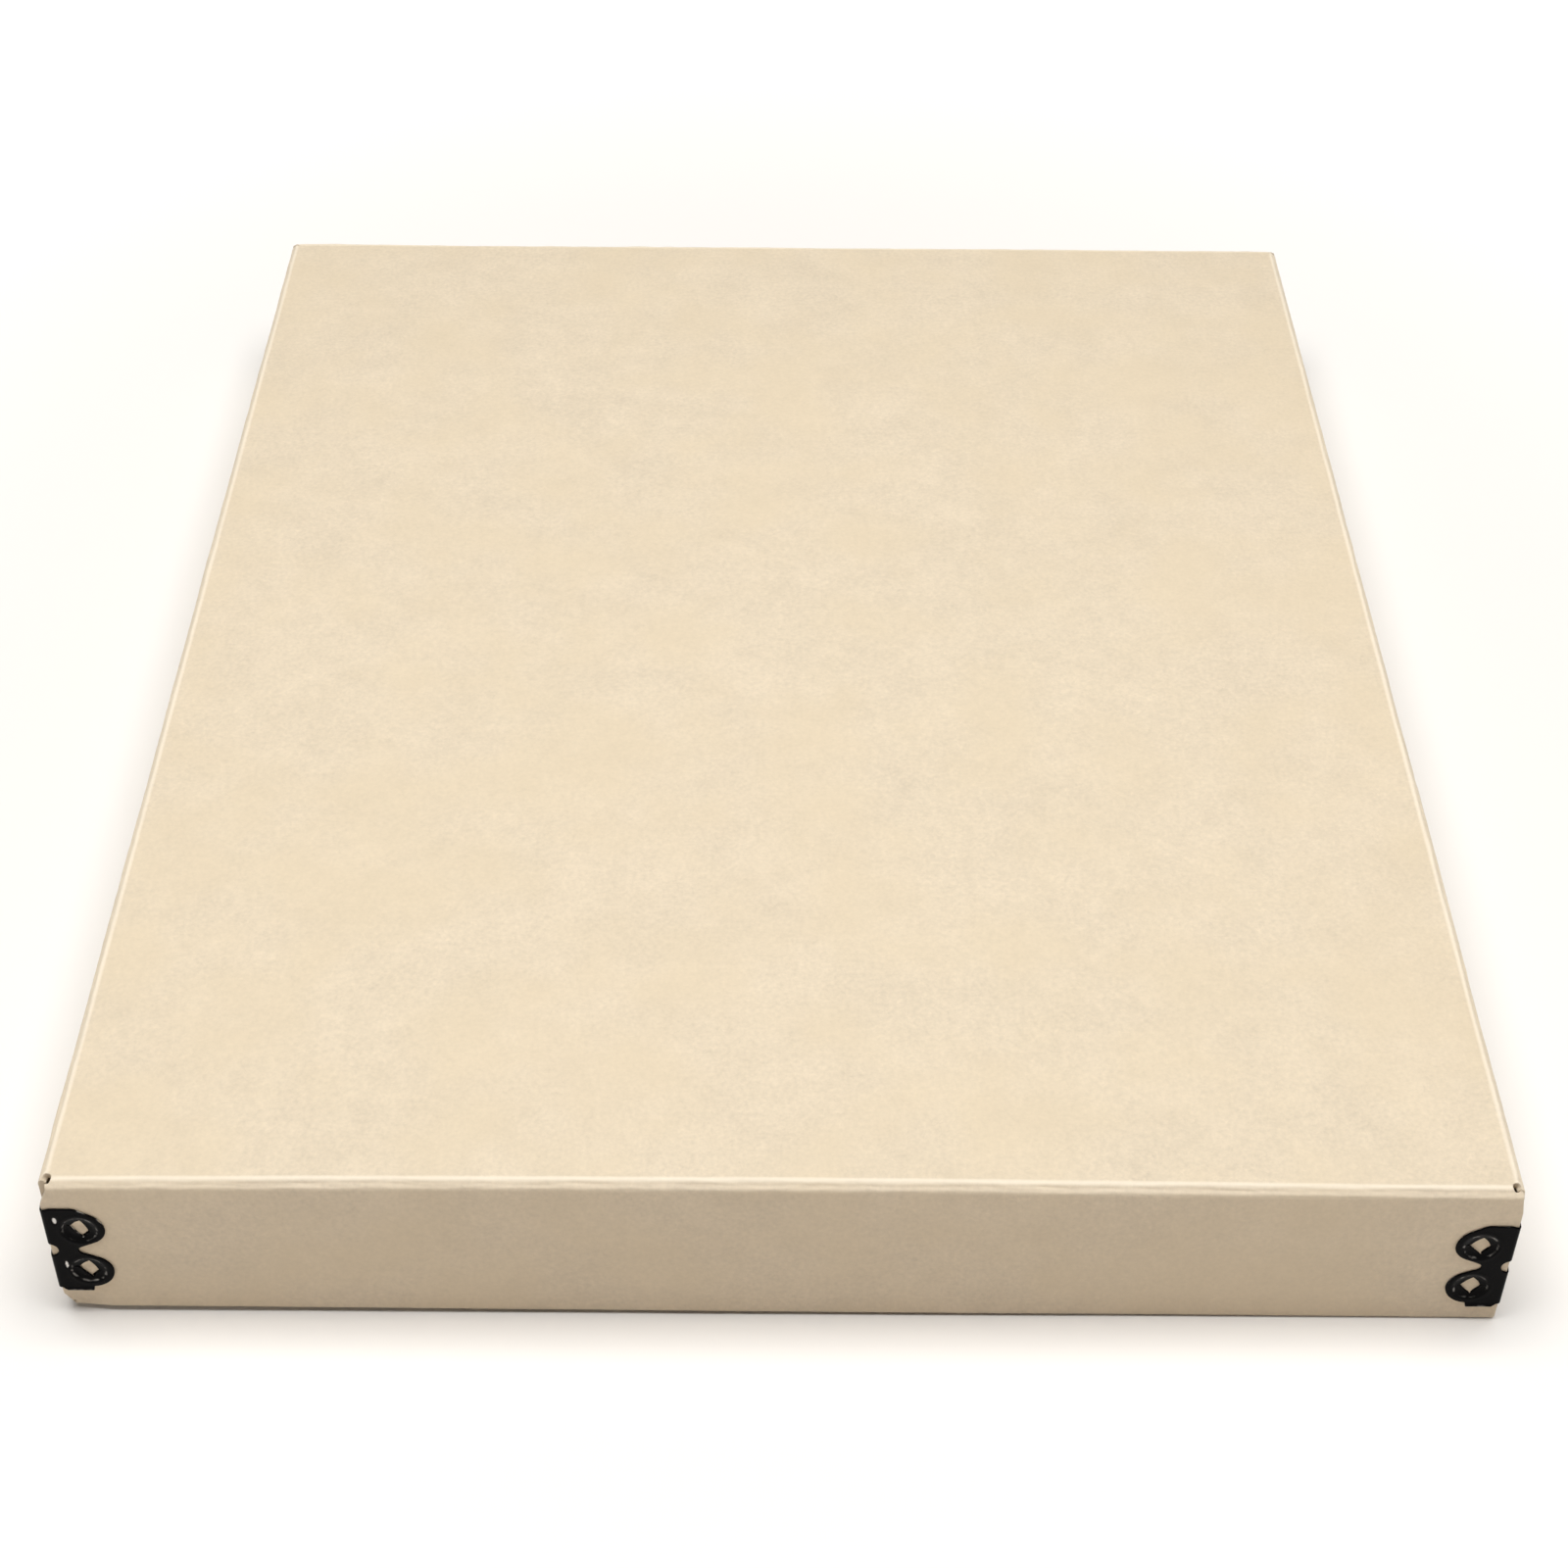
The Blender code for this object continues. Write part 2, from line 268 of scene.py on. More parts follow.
def run_shaping(piece, shaping, sizes):
    """Runs a shaping tree on a piece and keeps the result as its plain mesh."""
    modifier = piece.modifiers.new(shaping.tree.name, "NODES")
    modifier.node_group = shaping.tree
    for item in shaping.tree.interface.items_tree:
        if item.in_out == "INPUT" and item.name in sizes:
            modifier[item.identifier] = sizes[item.name]
    depsgraph = bpy.context.evaluated_depsgraph_get()
    mesh = bpy.data.meshes.new_from_object(
        piece.evaluated_get(depsgraph), preserve_all_data_layers=True, depsgraph=depsgraph)
    piece.modifiers.clear()
    piece.data = mesh
    return piece


# --- Flat blanks ---------------------------------------------------------------


def arc(centre, radius, start, end, steps):
    points = []
    for step in range(steps + 1):
        angle = start + (end - start) * step / steps
        x = centre[0] + radius * math.cos(angle)
        y = centre[1] + radius * math.sin(angle)
        points.append(Vector((x, y)))
    return points


def divide(points, spacing):
    """A closed outline with its long straight runs cut into even short ones."""
    outline = []
    for start, end in zip(points, points[1:] + points[:1]):
        start, end = Vector(start), Vector(end)
        count = max(1, math.ceil((end - start).length / spacing))
        outline += [start.lerp(end, step / count) for step in range(count)]
    return outline


def signed_area(outline):
    return sum(a.x * b.y - b.x * a.y for a, b in zip(outline, outline[1:] + outline[:1])) / 2


def is_inside(point, outlines):
    crossings = 0
    for outline in outlines:
        for a, b in zip(outline, outline[1:] + outline[:1]):
            if (a.y > point.y) != (b.y > point.y):
                if point.x < a.x + (point.y - a.y) * (b.x - a.x) / (b.y - a.y):
                    crossings += 1
    return crossings % 2 == 1


def rim_finder(outlines):
    """A search tree over the points of all the outlines."""
    tree = kdtree.KDTree(sum(len(outline) for outline in outlines))
    number = 0
    for outline in outlines:
        for point in outline:
            tree.insert(point.to_3d(), number)
            number += 1
    tree.balance()
    return tree


def rim_directions(outline):
    """For each point of an outline, the unit direction that leaves the material."""
    directions = []
    for before, point, after in zip(outline[-1:] + outline[:-1], outline, outline[1:] + outline[:1]):
        along = (point - before).normalized() + (after - point).normalized()
        directions.append(Vector((along.y, -along.x)).normalized())
    return directions


def cut_sheet(name, outlines, field_points, thickness, rounding):
    """A closed flat sheet with softened cut edges: outer face at z = 0, inner face at z = thickness.

    The first outline is the blank's edge, and the others are holes. Vertex attribute cut is 1 on the
    cut edge, and ply is the share of the thickness that lies between a vertex and the outer face.
    """
    outlines = [list(outline) for outline in outlines]
    for number, outline in enumerate(outlines):
        if (signed_area(outline) > 0) != (number == 0):
            outline.reverse()
    rim = [point for outline in outlines for point in outline]
    edges = []
    first = 0
    for outline in outlines:
        edges += [(first + step, first + (step + 1) % len(outline)) for step in range(len(outline))]
        first += len(outline)
    flat = rim + field_points
    _, _, triangles, origins, _, _ = geometry.delaunay_2d_cdt(flat, edges, [], 0, 1e-9)
    source = [origin[0] for origin in origins]
    kept = []
    for triangle in triangles:
        numbers = [source[corner] for corner in triangle]
        middle = sum((flat[number] for number in numbers), Vector((0, 0))) / 3
        if max(numbers) >= len(rim) or is_inside(middle, outlines):
            kept.append(numbers)
    outward = [direction for outline in outlines for direction in rim_directions(outline)]
    lean = rounding * 0.3
    rows = [
        (lean, lean),
        (0, rounding),
        (0, thickness / 2),
        (0, thickness - rounding),
        (lean, thickness - lean),
    ]
    places = []
    cut = []
    for depth in (0, thickness):
        places += [(*(point - out * rounding), depth) for point, out in zip(rim, outward)]
        places += [(*point, depth) for point in field_points]
    cut += [0.0] * len(places)
    for inset, depth in rows:
        places += [(*(point - out * inset), depth) for point, out in zip(rim, outward)]
        cut += [0.5 if inset else 1.0] * len(rim)
    far = len(flat)
    faces = [tuple(triangle) for triangle in kept]
    faces += [tuple(far + number for number in reversed(triangle)) for triangle in kept]
    starts = [0] + [2 * far + row * len(rim) for row in range(len(rows))] + [far]
    for upper, lower in zip(starts, starts[1:]):
        faces += [(upper + a, upper + b, lower + b, lower + a) for a, b in edges]
    mesh = bpy.data.meshes.new(name)
    mesh.from_pydata(places, [], faces)
    for key, values in (("cut", cut), ("ply", [place[2] / thickness for place in places])):
        mesh.attributes.new(key, "FLOAT", "POINT").data.foreach_set("value", values)
    turn_outward(mesh)
    piece = bpy.data.objects.new(name, mesh)
    bpy.context.scene.collection.objects.link(piece)
    return piece


def turn_outward(mesh):
    work = bmesh.new()
    work.from_mesh(mesh)
    bmesh.ops.recalc_face_normals(work, faces=work.faces[:])
    work.to_mesh(mesh)
    work.free()


def lattice(low, high, step):
    """Staggered points over a rectangle."""
    points = []
    rows = max(1, round((high[1] - low[1]) / step))
    columns = max(1, round((high[0] - low[0]) / step))
    for row in range(rows + 1):
        shift = 0.25 if row % 2 else -0.25
        for column in range(columns + 1):
            share = min(max((column + shift) / columns, 0), 1)
            points.append(Vector((low[0] + (high[0] - low[0]) * share,
                                  low[1] + (high[1] - low[1]) * row / rows)))
    return points


def keep_clear(points, outlines, margin):
    """Drops the points that lie outside the outlines, or too near them."""
    rim = rim_finder(outlines)
    kept = []
    for point in points:
        if rim.find(point.to_3d())[2] > margin and is_inside(point, outlines):
            kept.append(point)
    return kept


# --- Board shells --------------------------------------------------------------

ALONG_CREASE = 1.5 * MM
CREASE_ROWS = 12
PANEL_STEP = 8 * MM
PANEL_MARGIN = 8 * MM             # no panel points this near the creases, which have their own rows
WALL_STEP = 4 * MM
CREASE_MARGIN = 3.2 * MM
STAY_FIELD = 14.2 * MM            # width of the close field of points under each leg of a stay
STAY_FIELD_STEP = 0.9 * MM
LEAST_SPACING = 0.1 * MM
RIM_MARGIN = 0.24 * MM


class Shell:
    """Sizes of one folded shell, read from its node's box."""

    def __init__(self, node, stay_node, reliefs, clips):
        low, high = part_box(node)
        stay_low, stay_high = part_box(stay_node)
        self.node = node
        self.over = node.startswith("lid")
        self.width = high[0] - low[0]
        self.depth = high[1] - low[1]
        self.height = high[2] - low[2]
        self.base = high[2] if self.over else low[2] + FOOTING
        self.flat_x = self.width / 2 - REACH
        self.flat_y = self.depth / 2 - REACH
        self.wall_run = CREASE + self.height - REACH
        self.stay_height = stay_high[2] - stay_low[2]
        self.stay_from_fold = self.base - stay_high[2] if self.over else stay_low[2] - self.base
        self.stay_middle = self.stay_from_fold + self.stay_height / 2
        self.reliefs = reliefs
        self.clips = clips


def corner_outline(shell, corner):
    """One corner of a blank, in its own quadrant: side flap, fold ends, then end flap.

    The ends of the two folds are mitred, so that they close up once folded, and meet in a round relief.
    """
    hole, taper = shell.reliefs[corner]
    clip = shell.clips.get(corner, PLAIN_CLIP)
    fold = Vector((shell.flat_x, shell.flat_y))
    steps = 10
    side_fold = []
    end_fold = []
    for step in range(steps + 1):
        rise = math.sin(QUARTER_TURN * step / steps)
        side_fold.insert(0, Vector((CREASE * step / steps, OVERHANG * rise)))
        end_fold.append(Vector((min(REACH * rise, REACH - taper), CREASE * step / steps)))
    centre = Vector((hole, hole)) * RELIEF_OFFSET
    side_fold = [point for point in side_fold if (point - centre).length > hole]
    end_fold = [point for point in end_fold if (point - centre).length > hole]
    first = side_fold[-1] - centre
    last = end_fold[0] - centre
    start = math.atan2(first.y, first.x)
    end = math.atan2(last.y, last.x) - 4 * QUARTER_TURN
    relief = arc(centre, hole, start, end, 8 + round(20 * hole / MM))
    points = [Vector((shell.wall_run, OVERHANG - clip[0])), Vector((shell.wall_run - clip[1], OVERHANG))]
    points += side_fold + relief + end_fold
    points += [Vector((REACH, CREASE - REACH + TAPER_HEIGHT))]
    points += [Vector((REACH, shell.wall_run - clip[1])), Vector((REACH - clip[0], shell.wall_run))]
    return [fold + point for point in points]


def shell_outline(shell):
    outline = []
    for corner in ("back_right", "back_left", "front_left", "front_right"):
        side_x, side_y = CORNERS[corner]
        quarter = corner_outline(shell, corner)
        points = [Vector((point.x * side_x, point.y * side_y)) for point in quarter]
        if side_x * side_y < 0:
            points.reverse()
        outline += points
    return divide(outline, ALONG_CREASE)


def row_points(half_length, run, step):
    count = max(2, round(2 * half_length / step))
    return [(-half_length + 2 * half_length * number / count, run) for number in range(1, count)]


def shell_points(shell):
    """Points over a blank: close rows across the creases and close fields under the stays."""
    panel_x = shell.flat_x - PANEL_MARGIN
    panel_y = shell.flat_y - PANEL_MARGIN
    points = lattice((-panel_x, -panel_y), (panel_x, panel_y), PANEL_STEP)
    rows = [(CREASE * row / CREASE_ROWS, ALONG_CREASE) for row in range(-2, CREASE_ROWS + 3)]
    rows += [(-1.6 * MM, 2 * MM), (-3.4 * MM, 3.4 * MM), (CREASE + 1.5 * MM, 2 * MM)]
    half_end = shell.flat_x + REACH
    half_side = shell.flat_y + OVERHANG
    for run, step in rows:
        for along, out in row_points(half_end, run, step):
            points += [Vector((along, side * (shell.flat_y + out))) for side in (-1, 1)]
        for along, out in row_points(half_side, run, step):
            points += [Vector((side * (shell.flat_x + out), along)) for side in (-1, 1)]
    wall_low = CREASE + CREASE_MARGIN
    wall_high = shell.wall_run - MM
    end_reach = half_end - STAY_FIELD
    side_reach = half_side - STAY_FIELD
    end_wall = lattice((-end_reach, wall_low), (end_reach, wall_high), WALL_STEP)
    side_wall = lattice((-side_reach, wall_low), (side_reach, wall_high), WALL_STEP)
    close = lattice((0.6 * MM, wall_low), (STAY_FIELD, shell.wall_run - 0.7 * MM), STAY_FIELD_STEP)
    for side in (-1, 1):
        points += [Vector((p.x, side * (shell.flat_y + p.y))) for p in end_wall]
        points += [Vector((side * (shell.flat_x + p.y), p.x)) for p in side_wall]
        for end in (-1, 1):
            points += [Vector((end * (half_end - p.x), side * (shell.flat_y + p.y))) for p in close]
            points += [Vector((end * (shell.flat_x + p.y), side * (half_side - p.x))) for p in close]
    return points


def drop_repeats(points, spacing):
    """Leaves out points that fall almost on an earlier one."""
    seen = set()
    kept = []
    for point in points:
        key = (round(point.x / spacing), round(point.y / spacing))
        if key not in seen:
            seen.add(key)
            kept.append(point)
    return kept


def quarter_bend(run, depth, radius, sheet):
    """Bends a sheet a quarter turn from run = 0: gives its distance out and its height."""
    outside = radius + sheet
    length = (radius + sheet * 0.5) * QUARTER_TURN
    angle = (run / length).clamped() * QUARTER_TURN
    swing = outside - depth
    out = run.at_most(0.0) + swing * angle.sine()
    height = outside - swing * angle.cosine() + (run - length).at_least(0.0)
    return out, height


def shell_shaping():
    """Folds a blank into a shell, with pressed creases, dents under the stays and a slight warp."""
    shaping = Shaping("fold_shell")
    flat_x = shaping.size("Flat X")
    flat_y = shaping.size("Flat Y")
    board = shaping.size("Board")
    radius = shaping.size("Crease Radius")
    overhang = shaping.size("Overhang")
    wall_run = shaping.size("Wall Run")
    stay_middle = shaping.size("Stay Middle")
    base = shaping.size("Base")
    way_up = shaping.size("Way Up")
    crown = shaping.size("Crown")
    crush = shaping.size("Crush")
    trim = shaping.size("Trim")
    skew = shaping.size("Skew")
    place = shaping.add("ShaderNodeSeparateXYZ", {}, {0: shaping.add("GeometryNodeInputPosition")})
    x, y, z = place, place.other("Y"), place.other("Z")
    crease = (radius + board * 0.5) * QUARTER_TURN
    reach = radius + board

    run_x = abs(x) - flat_x
    run_y = abs(y) - flat_y
    mitre = run_x.at_least(0.0) * 0.4 + run_x.at_most(0.0)
    on_end = (run_y > overhang + 1e-6).at_least(run_y > mitre)
    run = run_x.toward(run_y, on_end)
    along = y.toward(x, on_end)
    from_corner = (flat_y + reach - abs(y)).toward(flat_x + reach - abs(x), on_end)
    side = x.sign().toward(y.sign() * 3, on_end)

    share = run / crease
    lean = (share.clamped() - 0.5) * QUARTER_TURN
    flat_facet = (1 - math.cos(FACET_HALF_ANGLE) / lean.cosine()).at_least(0.0) * reach
    ridge = share.bell(0.20, 0.24) * RIDGE_DEPTH
    groove = share.bell(0.50, 0.18) * GROOVE_DEPTH
    streaks = shaping.noise(shaping.vector(along * 75, run * 1300, side * 7.3), 1.0, 4.0, 0.6, 1.2)
    ripple = shaping.noise(shaping.vector(along * 26, run * 260, side * 3.1), 1.0, 2.0)
    wrinkles = (streaks - 0.5) * share.bell(0.45, 0.8) * WRINKLE_DEPTH
    wander = (ripple - 0.5) * share.bell(0.45, 1.2) * FOLD_WANDER
    outer_share = (1 - z / board).clamped()
    relief = (flat_facet - ridge + groove + wrinkles + wander) * outer_share

    lobe = abs(run - (stay_middle + crease - reach)) - LOBE_PITCH / 2
    across = from_corner - (LOBE_FROM_CORNER - SHEET - STAY_GAP)
    pressed = (across * across + lobe * lobe).root().ramp(DISH_RADIUS + 0.15 * MM, DISH_FLOOR)
    depth = z + relief + pressed * DISH_DEPTH * (1 - z / board * 0.35)

    out, height = quarter_bend(run, depth, radius, board)
    spread = shaping.noise(shaping.vector(along * 9, height * 12, side * 5), 1.0, 2.0)
    rise = (height / wall_run).clamped()
    out = out + (spread - 0.5) * WALL_WANDER * rise * (run > 0.0)
    to_corner_x = abs(x + flat_x + reach)
    to_corner_y = abs(y + flat_y + wall_run)
    dent = (to_corner_x * to_corner_x + to_corner_y * to_corner_y).root().bell(0.0, CRUSH_SPREAD)
    out = out - dent * crush * on_end
    end_y = y.sign() * (flat_y + out)
    side_x = x.sign() * (flat_x + out)
    new_x = side_x.toward(x, on_end)
    new_y = y.toward(end_y, on_end)

    across_width = new_x / (flat_x + reach)
    height = height * (1 + trim + skew * across_width)
    toward_front = (0.5 - new_y / (flat_y + reach) * 0.5).clamped()
    swell = shaping.noise(shaping.vector(new_x * 7, new_y * 7, 0.0), 1.0, 2.0)
    lift = crown * across_width.bell(-0.12, 1.15) * toward_front + swell.clamped() * PANEL_SWELL
    new_z = base + way_up * height + lift * (1 - rise)

    moved = shaping.add("GeometryNodeSetPosition", {}, {
        "Geometry": shaping.geometry, "Position": shaping.vector(new_x, new_y, new_z)})
    shaping.close(moved)
    return shaping


def mark_creases(piece, shell):
    """Vertex attribute crease: 1 along the ridge of a fold and less over the rest of it. The board's
    colour turns paler by it, partly as burnish and partly as a painted highlight.
    """
    values = []
    for vert in piece.data.vertices:
        share = max(abs(vert.co.x) - shell.flat_x, abs(vert.co.y) - shell.flat_y) / CREASE
        ridge = max(0.0, 1 - ((share - 0.17) / 0.22) ** 2)
        fold = max(0.0, 1 - ((share - 0.5) / 0.6) ** 2)
        values.append(ridge * 0.75 + fold * 0.25)
    piece.data.attributes.new("crease", "FLOAT", "POINT").data.foreach_set("value", values)


def make_shell(name, shell, shaping, material, crown, crush, trim, skew):
    outline = shell_outline(shell)
    points = drop_repeats(shell_points(shell), LEAST_SPACING)
    points = keep_clear(points, [outline], RIM_MARGIN)
    piece = cut_sheet(name, [outline], points, BOARD, CUT_ROUNDING)
    mark_creases(piece, shell)
    run_shaping(piece, shaping, {
        "Flat X": shell.flat_x, "Flat Y": shell.flat_y, "Board": BOARD, "Crease Radius": CREASE_RADIUS,
        "Overhang": OVERHANG, "Wall Run": shell.wall_run, "Stay Middle": shell.stay_middle,
        "Base": shell.base, "Way Up": -1.0 if shell.over else 1.0, "Crown": crown, "Crush": crush,
        "Trim": trim, "Skew": skew, "Material": material})
    turn_outward(piece.data)
    piece.data.shade_smooth()
    return piece


# --- Corner stays --------------------------------------------------------------

STAY_STEP = 0.36 * MM
STAY_RIM_MARGIN = 0.2 * MM
SIDE_STEPS = 10                   # points along one side of a punched hole


def stay_flat(from_corner):
    """Place on the flat stay of a point that will lie this far from the bent corner."""
    bend = (STAY_BEND_RADIUS + SHEET / 2) * QUARTER_TURN
    return from_corner - STAY_BEND_RADIUS - SHEET + bend / 2


def stay_outline(height):
    lobe_x = stay_flat(LOBE_FROM_CORNER)
    lobe_y = LOBE_PITCH / 2
    squash = LOBE_INSIDE_RADIUS / LOBE_RADIUS
    waist_x = stay_flat(WAIST_FROM_CORNER) + WAIST_RADIUS
    inside = [Vector((point.x, lobe_y + point.y * squash))
              for point in arc((lobe_x, 0), LOBE_RADIUS, -QUARTER_TURN * 0.72, 0, 26)]
    upper = inside[:-1] + arc((lobe_x, lobe_y), LOBE_RADIUS, 0, SHOULDER_ANGLE, 22)
    lower = arc((lobe_x, -lobe_y), LOBE_RADIUS, STEP_ANGLE, 0, 34)[:-1]
    lower += [Vector((point.x, -point.y)) for point in reversed(inside)]
    waist = arc((waist_x, 0), WAIST_RADIUS, -1.28 * QUARTER_TURN, -2.72 * QUARTER_TURN, 14)
    head_x = stay_flat(HEAD_FLAT)
    foot_x = stay_flat(FOOT_FLAT)
    shoulder = [Vector((head_x + 0.5 * MM, height / 2 - 0.2 * MM))]
    shoulder += [Vector((head_x - 0.3 * MM, height / 2))]
    foot = [Vector((foot_x - 0.15 * MM, -height / 2)), Vector((foot_x, -height / 2 + 0.15 * MM))]
    right = foot + lower + waist + upper + shoulder + [Vector((NOTCH_HALF, height / 2))]
    left = [Vector((-point.x, point.y)) for point in reversed(right)]
    head_notch = [Vector((side * NOTCH_BOTTOM_HALF, height / 2 - HEAD_NOTCH)) for side in (1, -1)]
    foot_notch = [Vector((side * NOTCH_BOTTOM_HALF, FOOT_NOTCH - height / 2)) for side in (-1, 1)]
    left += [Vector((-NOTCH_HALF, -height / 2))] + foot_notch + [Vector((NOTCH_HALF, -height / 2))]
    return divide(right + head_notch + left, STAY_STEP)


def oval(centre, half_width, half_height, steps):
    points = []
    for step in range(steps):
        angle = 2 * math.pi * step / steps
        x = centre[0] + half_width * math.cos(angle)
        y = centre[1] + half_height * math.sin(angle)
        points.append(Vector((x, y)))
    return points


def punched_outline(centre, lean, tearing):
    """Four-cornered hole that leans off the level, with bulging sides and torn corners."""
    cross = Vector((math.cos(lean), math.sin(lean))) * PUNCH_WIDE
    upper = Vector((-PUNCH_SHIFT, PUNCH_TALL))
    lower = Vector((-PUNCH_SHIFT, -PUNCH_TALL))
    corners = [cross, upper, -cross, lower]
    points = []
    for number, corner in enumerate(corners):
        before = corners[number - 1]
        after = corners[(number + 1) % 4]
        start = corner + (after - corner).normalized() * TEAR_WIDTH
        end = after + (corner - after).normalized() * TEAR_WIDTH
        bulge = (corner + after).normalized() * PUNCH_SIDE_BULGE
        points += [corner + (before - corner).normalized() * TEAR_WIDTH]
        points += [corner + Vector(TEARS[number]) * tearing]
        for step in range(SIDE_STEPS):
            share = step / SIDE_STEPS
            points.append(start.lerp(end, share) + bulge * math.sin(math.pi * share))
    return [centre + point for point in points]


def punch_centres():
    lobe_x = stay_flat(LOBE_FROM_CORNER)
    return [Vector((x, y * LOBE_PITCH / 2)) for x in (-lobe_x, lobe_x) for y in (-1, 1)]


def soft_step(value):
    value = min(max(value, 0.0), 1.0)
    return value * value * (3 - 2 * value)


def pressing(place, foot_y, dimples):
    """How far the press pushes a point of the sheet towards the board."""
    push = 0.0
    for centre in punch_centres():
        gap = (place - centre).length
        push += DISH_DEPTH * soft_step((DISH_RADIUS - gap) / (DISH_RADIUS - DISH_FLOOR))
        push -= DISH_LIP * max(0.0, 1 - ((gap - DISH_RADIUS) / (0.5 * MM)) ** 2)
    push += DIMPLE_DEPTH * dimpling(place, dimples)
    push -= FOOT_FLARE * soft_step((foot_y + FOOT_BEND - place.y) / FOOT_BEND)
    return push


def dimpling(place, dimples):
    """1 in the middle of a dimple, 0 outside them all."""
    share = 0.0
    for centre, half in dimples:
        across = (place - centre).x / half[0]
        along = (place - centre).y / half[1]
        share += max(0.0, 1 - across * across - along * along)
    return min(share, 1.0)


def wear_and_glint_share(place, foot_y, foot_wear_and_sheen, dimples):
    """How much pale uncoated steel a point of the enamel shows: partly wear, partly painted glints and
    highlights, in the dimples, on the lips of the dishes and along the lower edge.
    """
    # Pale patches in the dimples: painted highlights.
    wear_and_glint = min(1.0, 1.4 * dimpling(place, dimples))
    # Pale rings on the lips of the dishes: painted glints.
    for centre in punch_centres():
        lip = ((place - centre).length - 3.5 * MM) / (0.7 * MM)
        wear_and_glint = max(wear_and_glint, 0.60 * max(0.0, 1 - lip * lip))
    # Pale strip along the lower edge: partly wear, partly painted sheen.
    foot = (place.y - foot_y) / (0.8 * MM)
    return max(wear_and_glint, foot_wear_and_sheen * max(0.0, 1 - foot * foot))


def tooth_piece():
    """One tooth, from the side of its hole through the board to its clinched end."""
    root = PUNCH_HALF / math.sqrt(2)
    wall = SHEET + STAY_GAP + BOARD
    turn = CLINCH_RADIUS
    inner = root + TOOTH_SHEET / 2 + 0.02 * MM
    middle = DISH_DEPTH + SHEET / 2
    path = [Vector((inner + 0.45 * MM, middle)), Vector((inner + 0.2 * MM, middle))]
    path += [Vector((inner, DISH_DEPTH + SHEET)), Vector((inner, wall - 0.2 * MM))]
    path += arc((inner + turn, wall - 0.02 * MM), turn, 2 * QUARTER_TURN, QUARTER_TURN, 6)
    path += [path[-1] + Vector((CLINCH * share, -0.1 * MM * share)) for share in (0.33, 0.66, 1.0)]
    places = []
    length = sum((b - a).length for a, b in zip(path, path[1:]))
    walked = 0.0
    for number, point in enumerate(path):
        before = path[max(number - 1, 0)]
        after = path[min(number + 1, len(path) - 1)]
        walked += (point - before).length
        share = walked / length
        aside = Vector((after - before).normalized())
        normal = Vector((-aside.y, aside.x)) * TOOTH_SHEET / 2 * (1 - 0.45 * share)
        half = TOOTH_WIDTH / 2 * (1 - 0.86 * share ** 1.4)
        for across, lift in ((-half, -1), (half, -1), (half, 1), (-half, 1)):
            spot = point + normal * lift
            places.append((spot.x, across, spot.y))
    faces = [(3, 2, 1, 0), tuple(len(places) - 4 + corner for corner in range(4))]
    for ring in range(len(path) - 1):
        for corner in range(4):
            a = ring * 4 + corner
            b = ring * 4 + (corner + 1) % 4
            faces.append((a, b, b + 4, a + 4))
    mesh = bpy.data.meshes.new("stay_tooth")
    mesh.from_pydata(places, [], faces)
    turn_outward(mesh)
    piece = bpy.data.objects.new("stay_tooth", mesh)
    bpy.context.scene.collection.objects.link(piece)
    return piece


def teeth_shaping():
    """Repeats one tooth on the four sides of each of a stay's four punched holes."""
    shaping = Shaping("repeat_teeth")
    pitch = shaping.size("Lobe Pitch")
    spread = shaping.size("Lobe Spread")
    line = {"Count": 4, "Offset": (0.0, 0.0, 0.0)}
    sides = shaping.add("GeometryNodeMeshLine", {"mode": "OFFSET"}, line)
    index = shaping.add("GeometryNodeInputIndex")
    turn = shaping.vector(0.0, 0.0, (index + 0.5) * QUARTER_TURN)
    ring = shaping.add("GeometryNodeInstanceOnPoints", {}, {
        "Points": sides, "Instance": shaping.geometry, "Rotation": turn})
    holes = shaping.add("GeometryNodeMeshGrid", {}, {
        "Size X": spread, "Size Y": pitch, "Vertices X": 2, "Vertices Y": 2})
    shaping.close(shaping.add("GeometryNodeInstanceOnPoints", {}, {"Points": holes, "Instance": ring}))
    return shaping


def stay_shaping():
    """Bends a flat stay round its corner."""
    shaping = Shaping("bend_stay")
    radius = shaping.size("Bend Radius")
    sheet = shaping.size("Sheet")
    corner_x = shaping.size("Corner X")
    corner_y = shaping.size("Corner Y")
    corner_z = shaping.size("Corner Z")
    turn = shaping.size("Turn")
    place = shaping.add("ShaderNodeSeparateXYZ", {}, {0: shaping.add("GeometryNodeInputPosition")})
    bend = (radius + sheet * 0.5) * QUARTER_TURN
    out, height = quarter_bend(place + bend * 0.5, place.other("Z"), radius, sheet)
    local_x = out - radius - sheet
    local_y = -height
    new_x = corner_x + local_x * turn.cosine() - local_y * turn.sine()
    new_y = corner_y + local_x * turn.sine() + local_y * turn.cosine()
    moved = shaping.add("GeometryNodeSetPosition", {}, {
        "Geometry": shaping.geometry,
        "Position": shaping.vector(new_x, new_y, corner_z + place.other("Y"))})
    shaping.close(moved)
    return shaping


def join_meshes(piece, extra):
    """Adds another object's mesh to a piece, and removes that object."""
    work = bmesh.new()
    work.from_mesh(piece.data)
    work.from_mesh(extra.data)
    work.to_mesh(piece.data)
    work.free()
    bpy.data.objects.remove(extra)


